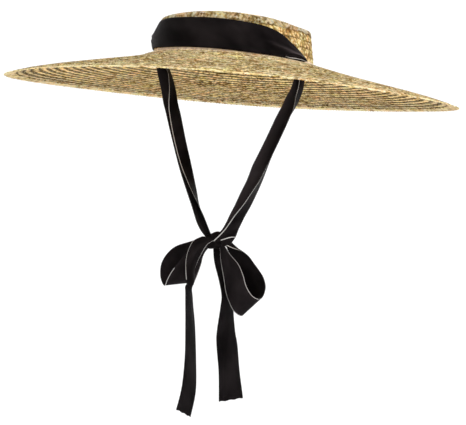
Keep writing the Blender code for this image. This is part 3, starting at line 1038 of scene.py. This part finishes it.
def tail_section(down, across, toward, turn, width, bow, slant):
    """A section of a tail, bowed out and slanted."""
    middle = bow_place(across, down, toward)
    half = SECTION_STEPS // 2
    points = []
    for step in range(-half, half + 1):
        side = step / half
        point = middle + bow_heading(turn) * side * width / 2 * MM
        point += bow_heading(turn + 90) * bow * (1 - side**2) * MM
        point.z += side * slant * MM
        points.append(point)
    return points


def loop_section(*row):
    """A straight section from one edge of a loop to the other."""
    edge_a, edge_b = bow_place(*row[:3]), bow_place(*row[3:])
    return [edge_a.lerp(edge_b, step / SECTION_STEPS) for step in range(SECTION_STEPS + 1)]


def band_fold(angle, height):
    """How far the folds lift the band at this place."""
    lift = 0.0
    spot = Vector((angle * BAND_DEGREE, height))
    for from_angle, from_height, to_angle, to_height, rise, width in BAND_FOLDS:
        start = Vector((from_angle * BAND_DEGREE, from_height))
        end = Vector((to_angle * BAND_DEGREE, to_height))
        along = end - start
        share = min(max((spot - start).dot(along) / along.length_squared, 0), 1)
        away = (spot - start - along * share).length
        lift += rise * (1 - share**2) * exp(-((away / width) ** 2))
    return lift


def band_section(low_angle, low_height, low_out, top_angle, top_height, top_out, bulge):
    """A section of the band from its lower edge up, and how much painted highlight lies on its folds."""
    points, painted_highlights = [], []
    for step in range(SECTION_STEPS + 1):
        up = step / SECTION_STEPS
        angle = low_angle + (top_angle - low_angle) * up
        height = low_height + (top_height - low_height) * up
        fold = band_fold(angle, height)
        out = low_out + (top_out - low_out) * up + bulge * 4 * up * (1 - up) + fold
        scale = 1 + (CROWN_TOP_SCALE - 1) * height / CROWN_TAPER_HEIGHT
        x = (CROWN_HALF_WIDTH * scale + out) * sin(radians(angle))
        y = -(CROWN_HALF_LENGTH * scale + out) * cos(radians(angle))
        points.append(Vector((x, y, height)) * MM)
        painted_highlights.append(min(fold / FULL_HIGHLIGHT_LIFT, 1.0) ** 2)
    return points, painted_highlights


class HAT_OT_crown(Operator):
    """Sew the crown from rows of plaited straw."""

    bl_idname = "straw_hat.crown"
    bl_label = "Crown"

    def execute(self, context):
        straw = context.scene.straw_hat.straw
        rows = row_limits(straw.crown_rows, straw.row_overlap, CROWN_START, ROWS_END)
        plaited("crown_plait", crown_surface, rows, -0.65, "crown")
        return {"FINISHED"}


class HAT_OT_brim(Operator):
    """Sew the brim from rows of plaited straw, with a slot on each side for the ribbon."""

    bl_idname = "straw_hat.brim"
    bl_label = "Brim"

    def execute(self, context):
        straw = context.scene.straw_hat.straw
        rows = row_limits(straw.brim_rows, straw.row_overlap, BRIM_START, ROWS_END)
        parts = (("brim_inner", 0, 8), ("brim_middle", 8, 13), ("brim_outer", 13, straw.brim_rows))
        for name, first, last in parts:
            plaited(name, brim_surface, rows[first:last], 1, "brim")
        return {"FINISHED"}


class HAT_OT_band(Operator):
    """Lay the ribbon round the front of the crown."""

    bl_idname = "straw_hat.band"
    bl_label = "Hat Band"

    def execute(self, context):
        rows, painted_highlights = zip(*(band_section(*row) for row in smooth_table(BAND, 10)))
        ribbon("band_ribbon", rows, "hat_band", False, "stretched", ["crown_plait"], painted_highlights=painted_highlights)
        rows = [band_section(*row)[0] for row in smooth_table(BAND_FLAP, 6)]
        ribbon("band_flap_ribbon", rows, "hat_band", True, "folded", ["band_ribbon"], 0.2)
        return {"FINISHED"}


class HAT_OT_ties(Operator):
    """Hang the two folded ties from the slots to the knot."""

    bl_idname = "straw_hat.ties"
    bl_label = "Ties"

    def execute(self, context):
        for name, node, table, light in (
            ("tie_left_ribbon", "tie_left", TIE_LEFT, 0.3),
            ("tie_right_ribbon", "tie_right", TIE_RIGHT, 0.55),
        ):
            rows = [folded_section(*row) for row in smooth_table(table, 8)]
            fold = len(rows[0]) // 2
            # Painted highlight: the back flap of each tie is painted lighter by this much.
            painted_highlights = [[0.0] * fold + [light] * (len(row) - fold) for row in rows]
            ribbon(name, rows, node, True, "folded", ["brim_inner"], painted_highlights=painted_highlights)
        return {"FINISHED"}


class HAT_OT_knot(Operator):
    """Tie the knot of the bow."""

    bl_idname = "straw_hat.knot"
    bl_label = "Knot"

    def execute(self, context):
        shape = bmesh.new()
        bmesh.ops.create_uvsphere(shape, u_segments=48, v_segments=32, radius=1.0)
        for vertex in shape.verts:
            full = [abs(c) ** KNOT_SQUARENESS * (1 if c > 0 else -1) for c in vertex.co]
            wrap = KNOT_WRAPS * full[0] + KNOT_WRAP_LEAN * full[2] + KNOT_WRAP_START
            wrap = 1 + KNOT_WRAP_DEPTH * sin(wrap)
            across, up, toward = (c * half for c, half in zip(full, KNOT_HALF_SIZE))
            up, toward = up * wrap, toward * wrap
            turned_across = across * cos(KNOT_TILT) - up * sin(KNOT_TILT)
            turned_up = across * sin(KNOT_TILT) + up * cos(KNOT_TILT)
            vertex.co = bow_place(turned_across, -turned_up, toward) + bow_place(*KNOT_PLACE)
        shape.loops.layers.uv.new("ribbon")
        shape.loops.layers.uv.new("crease")
        thing = object_from(shape, "knot_ribbon")
        thing.data.materials.append(satin_material("Satin Back", False))
        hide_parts("bow_knot")
        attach(thing, "root")
        for name, table, turned in (
            ("pleat_upper_ribbon", PLEAT_UPPER, False),
            ("pleat_lower_ribbon", PLEAT_LOWER, True),
        ):
            rows = [loop_section(*row) for row in smooth_table(table, 6)]
            ribbon(name, rows, "bow_knot", turned, "folded", ["knot_ribbon"], 0.2)
        return {"FINISHED"}


class HAT_OT_loops(Operator):
    """Shape the two loops of the bow."""

    bl_idname = "straw_hat.loops"
    bl_label = "Bow Loops"

    def execute(self, context):
        for name, node, table, light, bare in (
            ("loop_left_ribbon", "bow_loop_left", LOOP_LEFT, 0.12, (0, 36, 0)),
            ("loop_right_ribbon", "bow_loop_right", LOOP_RIGHT, 0.05, ()),
        ):
            rows = [loop_section(*row) for row in smooth_table(table, 8)]
            # Painted highlight: each loop is painted evenly lighter by this much.
            painted_highlights = [[light] * len(row) for row in rows]
            ribbon(name, rows, node, True, "folded", ["knot_ribbon"], painted_highlights=painted_highlights, bare=bare)
        return {"FINISHED"}


class HAT_OT_tails(Operator):
    """Hang the two free ends of the ribbon."""

    bl_idname = "straw_hat.tails"
    bl_label = "Bow Tails"

    def execute(self, context):
        for name, node, table, turned, bare in (
            ("tail_left_ribbon", "tail_left", TAIL_LEFT, True, (61, 100, 0)),
            ("tail_right_ribbon", "tail_right", TAIL_RIGHT, False, ()),
        ):
            rows = [tail_section(*row) for row in smooth_table(table, 10)]
            for step, point in enumerate(rows[-1]):
                point.z += END_WAVE * sin(END_WAVE_TURN * step) * MM
            ribbon(name, rows, node, turned, "hung", ["knot_ribbon"], bare=bare)
        return {"FINISHED"}


def plain_material(name, colour, roughness, glow):
    nodes = Nodes(name)
    nodes.give("Emission Color", (1.0, 1.0, 1.0, 1.0))
    nodes.give("Emission Strength", glow)
    nodes.give("Base Color", (*colour, 1.0))
    nodes.give("Roughness", roughness)
    return nodes.material


def add_area(name, place, size, power, target):
    """A large soft light that faces its target."""
    light = bpy.data.lights.new(name, "AREA")
    light.shape = "DISK"
    light.size = size
    light.energy = power
    thing = bpy.data.objects.new(name, light)
    bpy.context.scene.collection.objects.link(thing)
    thing.location = place
    thing.rotation_euler = (Vector(target) - Vector(place)).to_track_quat("-Z", "Y").to_euler()


def add_camera():
    """The camera where the photo was taken from, level apart from a slight roll."""
    turn, yaw = radians(CAMERA_AZIMUTH), radians(CAMERA_YAW)
    pitch, roll = radians(CAMERA_PITCH), radians(CAMERA_ROLL)
    back = Vector((sin(turn), -cos(turn), 0))
    right = Vector((cos(turn), sin(turn), 0))
    up = Vector((0, 0, 1))
    place = (back * CAMERA_DISTANCE + right * CAMERA_RIGHT + up * CAMERA_HEIGHT) * MM
    ahead = -back * cos(yaw) + right * sin(yaw)
    right = right * cos(yaw) + back * sin(yaw)
    ahead, up = ahead * cos(pitch) + up * sin(pitch), up * cos(pitch) - ahead * sin(pitch)
    right, up = right * cos(roll) + up * sin(roll), up * cos(roll) - right * sin(roll)
    data = bpy.data.cameras.new("photo_camera")
    data.sensor_fit = "HORIZONTAL"
    data.sensor_width = CAMERA_SENSOR
    data.lens = CAMERA_LENS
    camera = bpy.data.objects.new("photo_camera", data)
    bpy.context.scene.collection.objects.link(camera)
    rotation = Matrix((right, up, -ahead)).transposed().to_4x4()
    camera.matrix_world = Matrix.Translation(place) @ rotation
    bpy.context.scene.camera = camera


class HAT_OT_stage(Operator):
    """Set up the pale floor, the soft lights and the camera."""

    bl_idname = "straw_hat.stage"
    bl_label = "Studio"

    def execute(self, context):
        studio = context.scene.straw_hat.studio
        shape = bmesh.new()
        bmesh.ops.create_circle(shape, cap_ends=True, segments=96, radius=studio.floor_radius)
        rim = [edge for edge in shape.edges if edge.is_boundary]
        for lift, widen in FLOOR_EDGE:
            risen = bmesh.ops.extrude_edge_only(shape, edges=rim)["geom"]
            corners = [part for part in risen if isinstance(part, bmesh.types.BMVert)]
            rim = [part for part in risen if isinstance(part, bmesh.types.BMEdge)]
            for corner in corners:
                level = corner.co.copy()
                level.z = 0
                level = level.normalized() * studio.floor_radius * widen
                corner.co = (level.x, level.y, lift)
        bmesh.ops.translate(shape, verts=shape.verts, vec=(0, 0, studio.floor_height))
        bmesh.ops.recalc_face_normals(shape, faces=shape.faces)
        bmesh.ops.reverse_faces(shape, faces=shape.faces)
        floor = object_from(shape, "studio_floor")
        floor.data.materials.append(plain_material("Studio White", (0.93, 0.93, 0.93), 0.9, 0.1))
        world = bpy.data.worlds.new("Studio Daylight")
        context.scene.world = world
        world.use_nodes = True
        sky = world.node_tree.nodes["Background"]
        sky.inputs["Color"].default_value = (1.0, 1.0, 1.0, 1.0)
        sky.inputs["Strength"].default_value = studio.daylight
        add_area("key_light", KEY_PLACE, KEY_SIZE, studio.key_power, KEY_TARGET)
        add_camera()
        context.scene.view_settings.view_transform = "Standard"
        return {"FINISHED"}


class HAT_PT_panel(Panel):
    """Lists the pieces of the hat in the sidebar."""

    bl_idname = "HAT_PT_panel"
    bl_label = "Straw Hat"
    bl_space_type = "VIEW_3D"
    bl_region_type = "UI"
    bl_category = "Straw Hat"

    def draw(self, context):
        hat = context.scene.straw_hat
        for title, group in (("Straw", hat.straw), ("Ribbon", hat.ribbon), ("Studio", hat.studio)):
            box = self.layout.box()
            box.label(text=title)
            for key in group.bl_rna.properties.keys():
                if key not in ("rna_type", "name"):
                    box.prop(group, key)
        for operator in OPERATORS:
            self.layout.operator(operator.bl_idname)


OPERATORS = (
    HAT_OT_stage,
    HAT_OT_crown,
    HAT_OT_brim,
    HAT_OT_band,
    HAT_OT_knot,
    HAT_OT_ties,
    HAT_OT_loops,
    HAT_OT_tails,
)
CLASSES = (StrawSettings, RibbonSettings, StudioSettings, HatSettings, *OPERATORS, HAT_PT_panel)


def register():
    for kind in CLASSES:
        bpy.utils.register_class(kind)
    bpy.types.Scene.straw_hat = PointerProperty(type=HatSettings)


def unregister():
    del bpy.types.Scene.straw_hat
    for kind in reversed(CLASSES):
        bpy.utils.unregister_class(kind)


def main():
    register()
    for name in ("stage", "crown", "brim", "band", "knot", "ties", "loops", "tails"):
        getattr(bpy.ops.straw_hat, name)()


if __name__ == "__main__":
    main()
